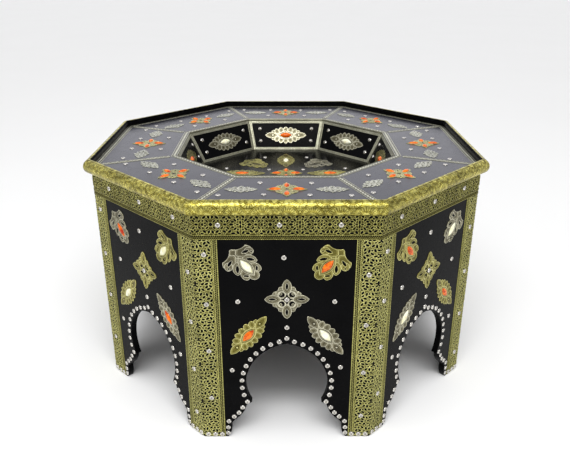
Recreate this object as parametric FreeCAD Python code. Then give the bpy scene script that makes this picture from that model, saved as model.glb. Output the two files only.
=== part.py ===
"""Octagonal low table: black boards, pierced brass sheet, a brass-clad rim and a sunken well.

Millimetres, +Z up. The origin is on the floor under the middle of the table.
Face 0 looks along -Y, and the faces are numbered anticlockwise as seen from above.
On a face, s runs to the right of a person looking at it, and r is the distance from the axis.
"""
import FreeCAD, Part
import math
import os

from FreeCAD import Matrix, Vector

# Driving dimensions
SIDES = 8
HEIGHT = 467.0
RIM_APOTHEM = 380.0
BODY_APOTHEM = 366.0
BOARD = 12.0
SKIN = 1.0

# Sides
TRIM_WIDTH = 39.0
TRIM_BOTTOM = 1.0
BAND_BOTTOM = 398.0
TOP_UNDERSIDE = 444.0
POST_SIZE = 26.0
POST_BOTTOM = 215.0

# Arch, drawn as two arcs that lean on each other over a notch and a curled foot
ARCH_RADIUS = 83.8
ARCH_OFFSET = 11.26
ARCH_SPRING = 118.0
NOTCH_DROP = 40.0
NECK = (72.0, 72.0)
FOOT_HOLLOW = (80.0, 53.0)
FOOT_SHOULDER = (94.0, 39.0)
FOOT_CUSP = (100.8, 30.0)
FOOT_INSTEP = (101.2, 13.0)
FOOT_TOE = (107.8, 0.0)

# Top
TOP_SURFACE = 455.0
PANEL_SHEET = 3.0
LIP_APOTHEM = 363.5
LIP_OUTER = 370.5
LIP_LEDGE = 3.0
LIP_LEDGE_DROP = 4.0
RIM_UNDERSIDE = 443.0
RIM_FOOT = 375.5
BULGE_HEIGHT = 452.0
STRIP = 0.8
STRIP_WIDTH = 12.0
EDGE_STRIP_WIDTH = 11.5

# Well
WELL_APOTHEM = 214.0
WELL_FLOOR_APOTHEM = 183.0
WELL_FLOOR = 389.5
WELL_BOARD = 8.0
BOARD_OPENING = 224.0
WALL_STRIP_WIDTH = 6.0

# Ornaments: height above their board, and stone height above the plate
PLATE = 1.2
STONE = 3.3
STUD_RADIUS = 4.5
STUD_HEIGHT = 2.2
STUD_CROWN = 0.45
ARCH_ROW_OFFSET = 7.0
ARCH_ROW_START = 74.5
ARCH_ROW_STEP = 10.0
ARCH_ROW_COUNT = 11
FOOT_STUDS = ((79.5, 66.0), (86.5, 54.5), (95.5, 45.5), (105.5, 35.0), (107.0, 21.0), (107.5, 8.5))
BOARD_STUDS = ((-5.0, 366.0), (-82.0, 284.5), (80.0, 284.5), (0.0, 234.0),
               (-96.0, 147.0), (94.0, 153.0), (0.0, 212.5))
TRIM_STUD_EDGE = 17.0
TRIM_STUDS_LEFT = (372.0, 279.5, 187.5, 88.0)
TRIM_STUDS_RIGHT = (335.0, 239.0, 142.0, 48.0)
HEM_STUDS = (-144.0, -131.0, -118.5, 119.0, 132.0, 144.5)
HEM_STUD_HEIGHT = 6.5
FRIEZE_STUD_SPACING = 98.0
FRIEZE_STUD_HEIGHT = 424.0
TOP_STUDS = ((-46.0, 253.0), (43.0, 255.0), (-113.0, 316.0), (-38.0, 313.0), (38.0, 315.0), (106.0, 317.0))
WALL_STUDS = ((-62.0, 0.72), (62.0, 0.72), (-60.0, 0.3), (60.0, 0.3))
FLOOR_STUDS = ((48.0, 117.0), (37.0, 25.0), (130.0, 34.0))

MARQUISE = (98.0, 40.0)
MARQUISE_AT = (66.0, 218.0)
MARQUISE_TURN = -50.3
FAN = ((59.4, 387.4), (90.0, 376.5), (105.8, 352.2), (75.5, 329.0), (47.0, 326.5), (44.0, 346.0))
FAN_STONE_AT = (66.3, 348.0)
FAN_STONE_TURN = 51.6
DIAMOND_AT = (0.0, 289.0)
DIAMOND_HALF = 37.0
SIDE_STONE = (29.0, 12.0)
TOP_RADIUS = 287.0
TOP_STONE = (20.0, 9.0)
TOP_STONE_REACH = 20.0
FLOWER_HALF = 34.0
FLOWER_WAIST = 17.0
TOP_PLATE = (52.0, 25.0)
TOP_PLATE_AT = 77.0
WALL_MARQUISE = (92.0, 38.0)
WALL_STONE = (27.0, 11.0)
FLOOR_FLOWER_HALF = 38.0
FLOOR_FLOWER_WAIST = 20.0
FLOOR_MARQUISE = (90.0, 36.0)
FLOOR_REACH = 94.0
FLOOR_STONE = (29.0, 12.0)
FLOOR_DIAGONAL = 98.0
FAN_MIDDLE = (70.0, 353.0)
FAN_POINTS_TO = 229.3

# Faces whose left fan is brass and right fan nickel; the others are the other way round
BRASS_LEFT_FACES = (1, 3, 5)
FRIEZE_STUD_SHIFT = (-12.0, -3.0, 2.0, -6.0, 3.0, -4.0, 0.0, 5.0)

HALF_ANGLE = math.pi / SIDES
TAN_HALF = math.tan(HALF_ANGLE)
AXIS = Vector(0, 0, 1)
REACH = 600.0
TALL = 700.0


def turned(shape, k):
    """The shape, made for face 0, carried round to face k."""
    copy = shape.copy()
    copy.rotate(Vector(0, 0, 0), AXIS, 360.0 / SIDES * k)
    return copy


def octagon_prism(apothem, low, high):
    corner = apothem / math.cos(HALF_ANGLE)
    points = []
    for k in range(SIDES + 1):
        angle = math.radians(-90.0 + 360.0 / SIDES * (k - 0.5))
        points.append(Vector(corner * math.cos(angle), corner * math.sin(angle), low))
    return Part.Face(Part.makePolygon(points)).extrude(Vector(0, 0, high - low))


def sector():
    """Everything that belongs to face 0: the wedge between its two mitre planes."""
    half = REACH * TAN_HALF
    middle = Vector(0, 0, -TALL)
    points = [middle, Vector(-half, -REACH, -TALL), Vector(half, -REACH, -TALL), middle]
    return Part.Face(Part.makePolygon(points)).extrude(Vector(0, 0, 2 * TALL))


SECTOR = sector()


def mitred(edges):
    """A moulding along face 0 from the edges of its closed section in (r, z)."""
    face = Part.Face(Part.Wire(edges))
    length = REACH * TAN_HALF
    face.translate(Vector(-length, 0, 0))
    return face.extrude(Vector(2 * length, 0, 0)).common(SECTOR).Solids[0]


def at(r, z):
    return Vector(0, -r, z)


def section(points):
    """Straight edges round a closed section given as (r, z)."""
    corners = [at(r, z) for r, z in points]
    return [Part.makeLine(a, b) for a, b in zip(corners, corners[1:] + corners[:1])]


def block(r_in, r_out, low, high):
    return mitred(section([(r_in, low), (r_out, low), (r_out, high), (r_in, high)]))


def flat(points):
    """A closed outline in the flat, as a face in the XY plane."""
    corners = [Vector(u, v, 0) for u, v in points]
    return Part.Face(Part.makePolygon(corners + corners[:1]))


def marquise(size):
    """A pointed oval, long along X."""
    length, width = size
    ends = Vector(-length / 2, 0, 0), Vector(length / 2, 0, 0)
    upper = Part.Arc(ends[0], Vector(0, width / 2, 0), ends[1]).toShape()
    lower = Part.Arc(ends[1], Vector(0, -width / 2, 0), ends[0]).toShape()
    return Part.Face(Part.Wire([upper, lower]))


def star(points, tip, waist):
    """A flower outline with alternating tips and waists."""
    corners = []
    for i in range(2 * points):
        radius = waist if i % 2 else tip
        angle = math.pi * i / points
        corners.append((radius * math.cos(angle), radius * math.sin(angle)))
    return flat(corners)


def dome():
    """A nail head: a low round cone frustum."""
    return Part.makeCone(STUD_RADIUS, STUD_RADIUS * STUD_CROWN, STUD_HEIGHT)


def spun(face, degrees):
    copy = face.copy()
    copy.rotate(Vector(0, 0, 0), AXIS, degrees)
    return copy


def raised(face, thickness):
    return face.extrude(Vector(0, 0, thickness))


def side_place(shape, s, z, r):
    """Stand a shape drawn in the flat on face 0, its foot at distance r from the axis."""
    copy = shape.copy()
    copy.rotate(Vector(0, 0, 0), Vector(1, 0, 0), 90)
    copy.translate(Vector(s, -r, z))
    return copy


def top_place(shape, s, r, z):
    copy = shape.copy()
    copy.translate(Vector(s, -r, z))
    return copy


WALL_RUN = WELL_APOTHEM - WELL_FLOOR_APOTHEM
WALL_RISE = TOP_SURFACE - PANEL_SHEET - WELL_FLOOR
WALL_LENGTH = math.hypot(WALL_RUN, WALL_RISE)


def wall_place(shape, u, v, w):
    """Lay a shape drawn in the flat on the well's wall 0: v up the slope, w off its surface."""
    up_r = WALL_RUN / WALL_LENGTH
    up_z = WALL_RISE / WALL_LENGTH
    foot_y = -WELL_FLOOR_APOTHEM
    origin = Vector(-u, foot_y - v * up_r + w * up_z, WELL_FLOOR + v * up_z + w * up_r)
    frame = Matrix(-1, 0, 0, origin.x, 0, -up_r, up_z, origin.y, 0, up_z, up_r, origin.z, 0, 0, 0, 1)
    return placed(shape, frame)


def placed(shape, frame):
    copy = shape.copy()
    copy.Placement = FreeCAD.Placement(frame).multiply(copy.Placement)
    return copy


def write(name, shapes):
    shape = shapes[0] if len(shapes) == 1 else Part.makeCompound(shapes)
    shape.exportStep("parts/%s.step" % name)


def write_ring(name, shape):
    """One node for each face, numbered from the front."""
    for k in range(SIDES):
        write("%s_%d" % (name, k + 1), [turned(shape, k)])


# Sides

def arch_edges():
    """Half the arch from its apex down to the toe, then its mirror image, as edges in (s, z)."""
    apex = ARCH_SPRING + math.sqrt(ARCH_RADIUS ** 2 - ARCH_OFFSET ** 2)
    notch = (math.sqrt(ARCH_RADIUS ** 2 - NOTCH_DROP ** 2) - ARCH_OFFSET, ARCH_SPRING - NOTCH_DROP)
    widest = (ARCH_RADIUS - ARCH_OFFSET, ARCH_SPRING)
    edges = []
    for side in (1, -1):
        def point(pair):
            return Vector(side * pair[0], -BODY_APOTHEM, pair[1])
        edges.append(Part.Arc(point((0, apex)), point(widest), point(notch)).toShape())
        edges.append(Part.makeLine(point(notch), point(NECK)))
        edges.append(Part.Arc(point(NECK), point(FOOT_HOLLOW), point(FOOT_SHOULDER)).toShape())
        edges.append(Part.makeLine(point(FOOT_SHOULDER), point(FOOT_CUSP)))
        edges.append(Part.Arc(point(FOOT_CUSP), point(FOOT_INSTEP), point(FOOT_TOE)).toShape())
    return edges


def side_panel():
    half = BODY_APOTHEM * TAN_HALF
    left = Vector(-half, -BODY_APOTHEM, 0)
    right = Vector(half, -BODY_APOTHEM, 0)
    rise = Vector(0, 0, TOP_UNDERSIDE)
    edges = arch_edges()
    edges.append(Part.makeLine(Vector(FOOT_TOE[0], -BODY_APOTHEM, 0), right))
    edges.append(Part.makeLine(right, right + rise))
    edges.append(Part.makeLine(right + rise, left + rise))
    edges.append(Part.makeLine(left + rise, left))
    edges.append(Part.makeLine(left, Vector(-FOOT_TOE[0], -BODY_APOTHEM, 0)))
    face = Part.Face(Part.Wire(Part.__sortEdges__(edges)))
    return face.extrude(Vector(0, BOARD, 0)).common(SECTOR).Solids[0]


def frieze_band():
    return block(BODY_APOTHEM, BODY_APOTHEM + SKIN, BAND_BOTTOM, TOP_UNDERSIDE)


def corner_trim():
    """Sheet folded round the corner between face 0 and face 1."""
    leaf = block(BODY_APOTHEM, BODY_APOTHEM + SKIN, TRIM_BOTTOM, BAND_BOTTOM)
    inner = (BODY_APOTHEM + SKIN) * TAN_HALF - TRIM_WIDTH
    keep = Part.makeBox(REACH, REACH, TALL, Vector(inner, -REACH, 0))
    leaf = leaf.common(keep).Solids[0]
    other = leaf.mirror(Vector(0, 0, 0), Vector(1, 0, 0))
    return leaf.fuse(turned(other, 1)).removeSplitter().Solids[0]


def corner_post():
    """A block glued into the inside corner between face 0 and face 1."""
    inside = BODY_APOTHEM - BOARD
    corner = inside / math.cos(HALF_ANGLE)
    post = Part.makeBox(2 * POST_SIZE, 2 * POST_SIZE, TOP_UNDERSIDE - POST_BOTTOM)
    post.translate(Vector(-POST_SIZE, -corner - POST_SIZE, POST_BOTTOM))
    post.rotate(Vector(0, 0, 0), AXIS, 180.0 / SIDES)
    return post.common(octagon_prism(inside, 0, TALL)).Solids[0]


# Rim and top

def rim_outline(inset):
    """The bullnose from its underside, round the bulge, to the top edge beside the lip."""
    inner = at(LIP_OUTER, RIM_UNDERSIDE + inset)
    foot = at(RIM_FOOT, RIM_UNDERSIDE + inset)
    bulge = at(RIM_APOTHEM - inset, BULGE_HEIGHT)
    top = at(LIP_OUTER, HEIGHT - inset)
    return inner, [Part.makeLine(inner, foot), Part.Arc(foot, bulge, top).toShape()], top


def rim_core():
    inner, edges, top = rim_outline(SKIN)
    return mitred(edges + [Part.makeLine(top, inner)])


def rim_cladding():
    inner, edges, top = rim_outline(0)
    core_inner, core_edges, core_top = rim_outline(SKIN)
    closing = [Part.makeLine(top, core_top), Part.makeLine(core_inner, inner)]
    return mitred(Part.__sortEdges__(edges + core_edges + closing))


def rim_lip():
    ledge = LIP_APOTHEM + LIP_LEDGE
    ledge_top = HEIGHT - LIP_LEDGE_DROP
    return mitred(section([
        (LIP_APOTHEM, TOP_SURFACE), (LIP_OUTER, TOP_SURFACE), (LIP_OUTER, HEIGHT),
        (ledge, HEIGHT), (ledge, ledge_top), (LIP_APOTHEM, ledge_top)]))


def tabletop_strips():
    """Brass strips over the seams, inside the lip and round the well."""
    top = TOP_SURFACE + STRIP
    outer_in = LIP_APOTHEM - EDGE_STRIP_WIDTH
    well_out = WELL_APOTHEM + STRIP_WIDTH
    outer = block(outer_in, LIP_APOTHEM, TOP_SURFACE, top)
    inner = block(WELL_APOTHEM, well_out, TOP_SURFACE, top)
    radial = Part.makeBox(STRIP_WIDTH, REACH, STRIP, Vector(-STRIP_WIDTH / 2, -REACH, TOP_SURFACE))
    radial.rotate(Vector(0, 0, 0), AXIS, 180.0 / SIDES)
    radial = radial.common(octagon_prism(outer_in, 0, TALL))
    radial = radial.cut(octagon_prism(well_out, 0, TALL)).Solids[0]
    strips = []
    for k in range(SIDES):
        strips += [turned(outer, k), turned(inner, k), turned(radial, k)]
    return strips


# Well

def well_wall():
    thick = WELL_BOARD * WALL_LENGTH / WALL_RISE
    top = TOP_SURFACE - PANEL_SHEET
    return mitred(section([
        (WELL_FLOOR_APOTHEM, WELL_FLOOR), (WELL_FLOOR_APOTHEM + thick, WELL_FLOOR),
        (WELL_APOTHEM + thick, top), (WELL_APOTHEM, top)]))


def well_strips():
    """A flat brass border on every wall, and an upright edge round the opening."""
    foot = WELL_FLOOR_APOTHEM * TAN_HALF
    head = WELL_APOTHEM * TAN_HALF
    w = WALL_STRIP_WIDTH
    border = flat([(-foot, 0), (foot, 0), (head, WALL_LENGTH), (-head, WALL_LENGTH)])
    lean = (head - foot) / WALL_LENGTH
    low = foot + lean * w - w
    high = head - lean * w - w
    window = flat([(-low, w), (low, w), (high, WALL_LENGTH - w), (-high, WALL_LENGTH - w)])
    frame = wall_place(raised(border.cut(window), STRIP), 0, 0, 0)
    above_floor = Part.makeBox(REACH, REACH, TALL, Vector(-REACH / 2, -REACH, WELL_FLOOR))
    frame = frame.common(SECTOR).common(above_floor)
    edge = block(WELL_APOTHEM - STRIP, WELL_APOTHEM, TOP_SURFACE - PANEL_SHEET, TOP_SURFACE + STRIP)
    frame = frame.cut(edge).Solids[0]
    strips = []
    for k in range(SIDES):
        strips += [turned(frame, k), turned(edge, k)]
    return strips


# Ornaments

class Ornaments:
    """Plates, stones and nails, gathered by finish."""

    def __init__(self):
        self.plates = {"nickel": [], "brass": []}
        self.stones = {"amber": [], "pale": []}
        self.studs = []

    def side_plate(self, k, finish, face, s, z):
        shape = side_place(raised(face, PLATE), s, z, BODY_APOTHEM)
        self.plates[finish].append(turned(shape, k))

    def side_stone(self, k, colour, face, s, z):
        shape = side_place(raised(face, STONE), s, z, BODY_APOTHEM + PLATE)
        self.stones[colour].append(turned(shape, k))

    def side_stud(self, k, s, z, r):
        self.studs.append(turned(side_place(dome(), s, z, r), k))


def side_ornaments(found, k):
    """Two fans, a diamond and two marquises on the board of face k."""
    brass_left = k in BRASS_LEFT_FACES
    fan_finish = ("brass", "nickel") if brass_left else ("nickel", "brass")
    marquise_finish = ("nickel", "brass") if brass_left else ("brass", "nickel")
    fan_stone = ("pale", "amber") if k % 2 == 0 else ("amber", "pale")
    marquise_stone = ("amber", "pale") if k % 2 == 0 else ("pale", "amber")
    for index, side in enumerate((-1, 1)):
        fan = flat([(side * s, z) for s, z in FAN])
        found.side_plate(k, fan_finish[index], fan, 0, 0)
        stone = spun(marquise(SIDE_STONE), side * FAN_STONE_TURN)
        found.side_stone(k, fan_stone[index], stone, side * FAN_STONE_AT[0], FAN_STONE_AT[1])
        turn = side * MARQUISE_TURN
        plate = spun(marquise(MARQUISE), turn)
        found.side_plate(k, marquise_finish[index], plate, side * MARQUISE_AT[0], MARQUISE_AT[1])
        stone = spun(marquise(SIDE_STONE), turn)
        found.side_stone(k, marquise_stone[index], stone, side * MARQUISE_AT[0], MARQUISE_AT[1])
    half = DIAMOND_HALF
    diamond = flat([(half, 0), (0, half), (-half, 0), (0, -half)])
    found.side_plate(k, "brass" if k % 2 else "nickel", diamond, *DIAMOND_AT)
    found.side_stud(k, DIAMOND_AT[0], DIAMOND_AT[1], BODY_APOTHEM + PLATE)


def side_studs(found, k):
    """Nails round the arch, over the board, on the two half trims and on the frieze of face k."""
    board = BODY_APOTHEM
    brass = BODY_APOTHEM + SKIN
    row = ARCH_RADIUS + ARCH_ROW_OFFSET
    for s, z in BOARD_STUDS:
        found.side_stud(k, s, z, board)
    half_row = list(FOOT_STUDS)
    for step in range(ARCH_ROW_COUNT):
        angle = math.radians(ARCH_ROW_START - ARCH_ROW_STEP * step)
        half_row.append((row * math.cos(angle) - ARCH_OFFSET, ARCH_SPRING + row * math.sin(angle)))
    for s, z in half_row:
        found.side_stud(k, s, z, board)
        found.side_stud(k, -s, z, board)
    column = BODY_APOTHEM * TAN_HALF - TRIM_STUD_EDGE
    for z in TRIM_STUDS_LEFT:
        found.side_stud(k, -column, z, brass)
    for z in TRIM_STUDS_RIGHT:
        found.side_stud(k, column, z, brass)
    for s in HEM_STUDS:
        found.side_stud(k, s, HEM_STUD_HEIGHT, brass)
    for step in (-1, 0, 1):
        s = step * FRIEZE_STUD_SPACING + FRIEZE_STUD_SHIFT[k]
        found.side_stud(k, s, FRIEZE_STUD_HEIGHT, brass)


def top_ornaments(found, k):
    """A brass flower with four stones between two pointed nickel plates on each panel of the top."""
    flower = top_place(raised(star(4, FLOWER_HALF, FLOWER_WAIST), PLATE), 0, TOP_RADIUS, TOP_SURFACE)
    found.plates["brass"].append(turned(flower, k))
    for quarter in range(4):
        stone = marquise(TOP_STONE)
        stone.translate(Vector(TOP_STONE_REACH, 0, 0))
        stone = raised(spun(stone, 90.0 * quarter), STONE)
        found.stones["amber"].append(turned(top_place(stone, 0, TOP_RADIUS, TOP_SURFACE + PLATE), k))
    for side in (-1, 1):
        plate = top_place(raised(marquise(TOP_PLATE), PLATE), side * TOP_PLATE_AT, TOP_RADIUS, TOP_SURFACE)
        found.plates["nickel"].append(turned(plate, k))
    for s, r in TOP_STUDS:
        found.studs.append(turned(top_place(dome(), s, r, TOP_SURFACE), k))


def wall_ornaments(found, k):
    """A scalloped oval with one stone and four nails on each wall of the well."""
    middle = WALL_LENGTH * 0.5
    plate = wall_place(raised(marquise(WALL_MARQUISE), PLATE), 0, middle, 0)
    found.plates["brass" if k % 4 == 2 else "nickel"].append(turned(plate, k))
    stone = wall_place(raised(marquise(WALL_STONE), STONE), 0, middle, PLATE)
    found.stones["pale" if k % 2 else "amber"].append(turned(stone, k))
    for s, share in WALL_STUDS:
        found.studs.append(turned(wall_place(dome(), s, share * WALL_LENGTH, 0), k))


def floor_ornaments(found):
    """A flower in the middle of the well's floor, four ovals round it and a fan towards each diagonal."""
    level = WELL_FLOOR
    flower = raised(star(4, FLOOR_FLOWER_HALF, FLOOR_FLOWER_WAIST), PLATE)
    found.plates["brass"].append(top_place(flower, 0, 0, level))
    for quarter in range(4):
        across = 90.0 * quarter
        stone = marquise(TOP_STONE)
        stone.translate(Vector(TOP_STONE_REACH, 0, 0))
        stone = raised(spun(stone, across), STONE)
        found.stones["amber"].append(top_place(stone, 0, 0, level + PLATE))
        oval = marquise(FLOOR_MARQUISE)
        oval.translate(Vector(FLOOR_REACH, 0, 0))
        found.plates["brass"].append(top_place(raised(spun(oval, across), PLATE), 0, 0, level))
        stone = marquise(FLOOR_STONE)
        stone.translate(Vector(FLOOR_REACH, 0, 0))
        stone = raised(spun(stone, across), STONE)
        found.stones["pale" if quarter % 2 else "amber"].append(top_place(stone, 0, 0, level + PLATE))
        fan = flat([(s - FAN_MIDDLE[0], z - FAN_MIDDLE[1]) for s, z in FAN])
        fan = spun(fan, 180.0 - FAN_POINTS_TO)
        fan.translate(Vector(FLOOR_DIAGONAL, 0, 0))
        plate = raised(spun(fan, across + 45.0), PLATE)
        found.plates["brass" if quarter % 2 else "nickel"].append(top_place(plate, 0, 0, level))
    for x, y in FLOOR_STUDS:
        for left in (-1, 1):
            for back in (-1, 1):
                found.studs.append(top_place(dome(), left * x, back * y, level))


def main():
    os.makedirs("parts", exist_ok=True)
    write_ring("side_panel", side_panel())
    write_ring("corner_trim", corner_trim())
    write_ring("frieze_band", frieze_band())
    write_ring("rim_cladding", rim_cladding())
    write_ring("top_panel", block(WELL_APOTHEM, LIP_OUTER, TOP_SURFACE - PANEL_SHEET, TOP_SURFACE))
    write_ring("well_wall", well_wall())
    top_board = block(BOARD_OPENING, LIP_OUTER, TOP_UNDERSIDE, TOP_SURFACE - PANEL_SHEET)
    for name, shape in (("rim_core", rim_core()), ("rim_lip", rim_lip()), ("corner_posts", corner_post()),
                        ("top_boards", top_board)):
        write(name, [turned(shape, k) for k in range(SIDES)])
    write("tabletop_strips", tabletop_strips())
    write("well_strips", well_strips())
    floor_out = WELL_FLOOR_APOTHEM + WELL_BOARD * WALL_LENGTH / WALL_RISE
    write("well_floor", [octagon_prism(floor_out, WELL_FLOOR - WELL_BOARD, WELL_FLOOR)])
    found = Ornaments()
    for k in range(SIDES):
        side_ornaments(found, k)
        side_studs(found, k)
        top_ornaments(found, k)
        wall_ornaments(found, k)
    floor_ornaments(found)
    for finish, plates in found.plates.items():
        write(finish + "_ornaments", plates)
    for colour, stones in found.stones.items():
        write(colour + "_stones", stones)
    write("studs", found.studs)


main()
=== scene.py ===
"""Looks of the octagonal low table: black lacquer, pierced brass, an engraved rim and inlaid medallions.

The world is in metres, as in the frame. Reliefs are worked out in millimetres on flat sheets, where
x and y lie in the sheet and the height stands off it, and are then laid on the table.
"""
import math

import bpy
import numpy as np
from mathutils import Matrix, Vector


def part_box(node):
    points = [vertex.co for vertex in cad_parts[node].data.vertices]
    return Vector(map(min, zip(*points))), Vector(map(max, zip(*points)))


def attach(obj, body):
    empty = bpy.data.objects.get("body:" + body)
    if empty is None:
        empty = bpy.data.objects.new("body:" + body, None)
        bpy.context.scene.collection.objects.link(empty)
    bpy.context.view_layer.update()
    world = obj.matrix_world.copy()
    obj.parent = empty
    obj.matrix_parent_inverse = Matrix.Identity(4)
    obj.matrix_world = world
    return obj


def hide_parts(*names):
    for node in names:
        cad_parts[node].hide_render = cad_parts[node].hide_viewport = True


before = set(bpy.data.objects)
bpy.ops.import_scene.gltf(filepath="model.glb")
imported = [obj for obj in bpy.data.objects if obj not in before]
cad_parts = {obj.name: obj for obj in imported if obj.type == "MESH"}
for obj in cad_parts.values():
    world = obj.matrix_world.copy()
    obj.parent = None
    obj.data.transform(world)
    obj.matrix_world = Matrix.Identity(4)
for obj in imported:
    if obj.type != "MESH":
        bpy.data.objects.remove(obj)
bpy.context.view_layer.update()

MM = 0.001
SIDES = 8
TAN_HALF = math.tan(math.pi / SIDES)
RNG = np.random.default_rng(7)


# Places, from the frame

def low_mm(node):
    return np.array(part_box(node)[0]) / MM


def high_mm(node):
    return np.array(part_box(node)[1]) / MM


HEIGHT = high_mm("rim_lip")[2]
BODY_R = -low_mm("side_panel_1")[1]
BAND_LOW, BAND_HIGH = low_mm("frieze_band_1")[2], high_mm("frieze_band_1")[2]
TRIM_LOW, TRIM_HIGH = low_mm("corner_trim_1")[2], high_mm("corner_trim_1")[2]
SKIN_R = -low_mm("frieze_band_1")[1]
TRIM_HALF = SKIN_R * TAN_HALF - low_mm("corner_trim_1")[0]
RIM_R = -low_mm("rim_cladding_1")[1] - 0.15
RIM_LOW = low_mm("rim_cladding_1")[2]
LIP_OUT = -low_mm("rim_lip")[1]
TOP_Z = high_mm("top_panel_1")[2]
LIP_IN = -low_mm("tabletop_strips")[1]
WELL_R = high_mm("well_strips")[0]
FLOOR_Z = high_mm("well_floor")[2]
WALL_TOP_Z = high_mm("well_wall_1")[2]
WALL_FOOT_R = -high_mm("well_wall_1")[1]
WALL_RUN = WELL_R - WALL_FOOT_R
WALL_RISE = WALL_TOP_Z - FLOOR_Z
WALL_SLOPE = math.hypot(WALL_RUN, WALL_RISE)


def turn(k):
    """Angle of face k's outward normal."""
    return -math.pi / 2 + 2 * math.pi / SIDES * k


def axes(origin, u, v, w):
    return np.array(origin, float), np.array([u, v, w], float)


AS_DRAWN = axes((0, 0, 0), (1, 0, 0), (0, 1, 0), (0, 0, 1))


def side_axes(k):
    a = turn(k)
    n = (math.cos(a), math.sin(a), 0)
    t = (-math.sin(a), math.cos(a), 0)
    return axes(np.array(n) * BODY_R, t, (0, 0, 1), n)


def top_axes(k):
    a = turn(k)
    n = np.array((math.cos(a), math.sin(a), 0))
    return axes((0, 0, TOP_Z), (-math.sin(a), math.cos(a), 0), -n, (0, 0, 1))


def wall_axes(k):
    a = turn(k)
    n = np.array((math.cos(a), math.sin(a), 0))
    up = (n * WALL_RUN + np.array((0, 0, WALL_RISE))) / WALL_SLOPE
    off = (-n * WALL_RISE + np.array((0, 0, WALL_RUN))) / WALL_SLOPE
    return axes(n * WALL_FOOT_R + np.array((0, 0, FLOOR_Z)), (math.sin(a), -math.cos(a), 0), up, off)


def floor_axes():
    return axes((0, 0, FLOOR_Z), (1, 0, 0), (0, 1, 0), (0, 0, 1))


# Meshes as arrays

class Solid:
    """Points in millimetres, faces of four corners (the last is -1 in a triangle), and relief from 0 to 1."""

    def __init__(self, points, faces, relief=None):
        self.points = np.asarray(points, float)
        self.faces = np.asarray(faces, int)
        self.relief = np.ones(len(self.points)) if relief is None else np.asarray(relief, float)

    def laid(self, place, x=0.0, y=0.0, degrees=0.0, lift=0.0):
        """This shape on a surface, turned and moved in its plane."""
        origin, basis = place
        p = self.points
        c, s = math.cos(math.radians(degrees)), math.sin(math.radians(degrees))
        px = p[:, 0] * c - p[:, 1] * s + x
        py = p[:, 0] * s + p[:, 1] * c + y
        flat = np.stack([px, py, p[:, 2] + lift], axis=1)
        return Solid(origin + flat @ basis, self.faces, self.relief)


def joined(solids):
    points, faces, relief, base = [], [], [], 0
    for solid in solids:
        points.append(solid.points)
        faces.append(np.where(solid.faces >= 0, solid.faces + base, -1))
        relief.append(solid.relief)
        base += len(solid.points)
    return Solid(np.concatenate(points), np.concatenate(faces), np.concatenate(relief))


def piece(name, solid, material, nodes=(), smooth=True):
    """A Blender object from a solid, riding on the root body."""
    mesh = bpy.data.meshes.new(name)
    sizes = np.where(solid.faces[:, 3] >= 0, 4, 3)
    corners = solid.faces[solid.faces >= 0]
    starts = np.concatenate([[0], np.cumsum(sizes)[:-1]])
    mesh.vertices.add(len(solid.points))
    mesh.vertices.foreach_set("co", (solid.points * MM).astype(np.float32).ravel())
    mesh.loops.add(len(corners))
    mesh.loops.foreach_set("vertex_index", corners.astype(np.int32))
    mesh.polygons.add(len(sizes))
    mesh.polygons.foreach_set("loop_start", starts.astype(np.int32))
    mesh.update(calc_edges=True)
    mesh.polygons.foreach_set("use_smooth", np.full(len(sizes), smooth))
    mesh.attributes.new("relief", "FLOAT", "POINT").data.foreach_set("value", solid.relief.astype(np.float32))
    mesh.validate()
    mesh.materials.append(material)
    obj = bpy.data.objects.new(name, mesh)
    bpy.context.scene.collection.objects.link(obj)
    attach(obj, "root")
    if nodes:
        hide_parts(*nodes)
    return obj


# Signed distances in the flat: negative inside the shape

def moved(x, y, cx, cy, degrees):
    c, s = math.cos(math.radians(degrees)), math.sin(math.radians(degrees))
    return (x - cx) * c + (y - cy) * s, -(x - cx) * s + (y - cy) * c


def leaf(x, y, length, width):
    """A pointed oval, long along x."""
    half, across = length / 2, width / 2
    radius = (half * half + across * across) / (2 * across)
    offset = radius - across
    px, py = np.abs(y), np.abs(x)
    tip = (py - half) * offset > px * half
    return np.where(tip, np.hypot(px, py - half), np.hypot(px + offset, py) - radius)


def leaves(x, y, holes):
    """The nearest of several leaves, each given as centre x, centre y, angle, length and width."""
    best = np.full(x.shape, 1e3)
    for cx, cy, degrees, length, width in holes:
        best = np.minimum(best, leaf(*moved(x, y, cx, cy, degrees), length, width))
    return best


def folded(value, period):
    """Distance along a repeating pattern from its nearest middle."""
    return np.abs((value + period / 2) % period - period / 2)


def rounded(depth, width):
    """Height share of a round-edged line at a distance inside its edge."""
    t = np.clip(1 - depth / width, 0, 1)
    return np.sqrt(1 - t * t)


def ridge(distance, width):
    return np.exp(-(distance / width) ** 2)


# Relief sheets

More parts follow.
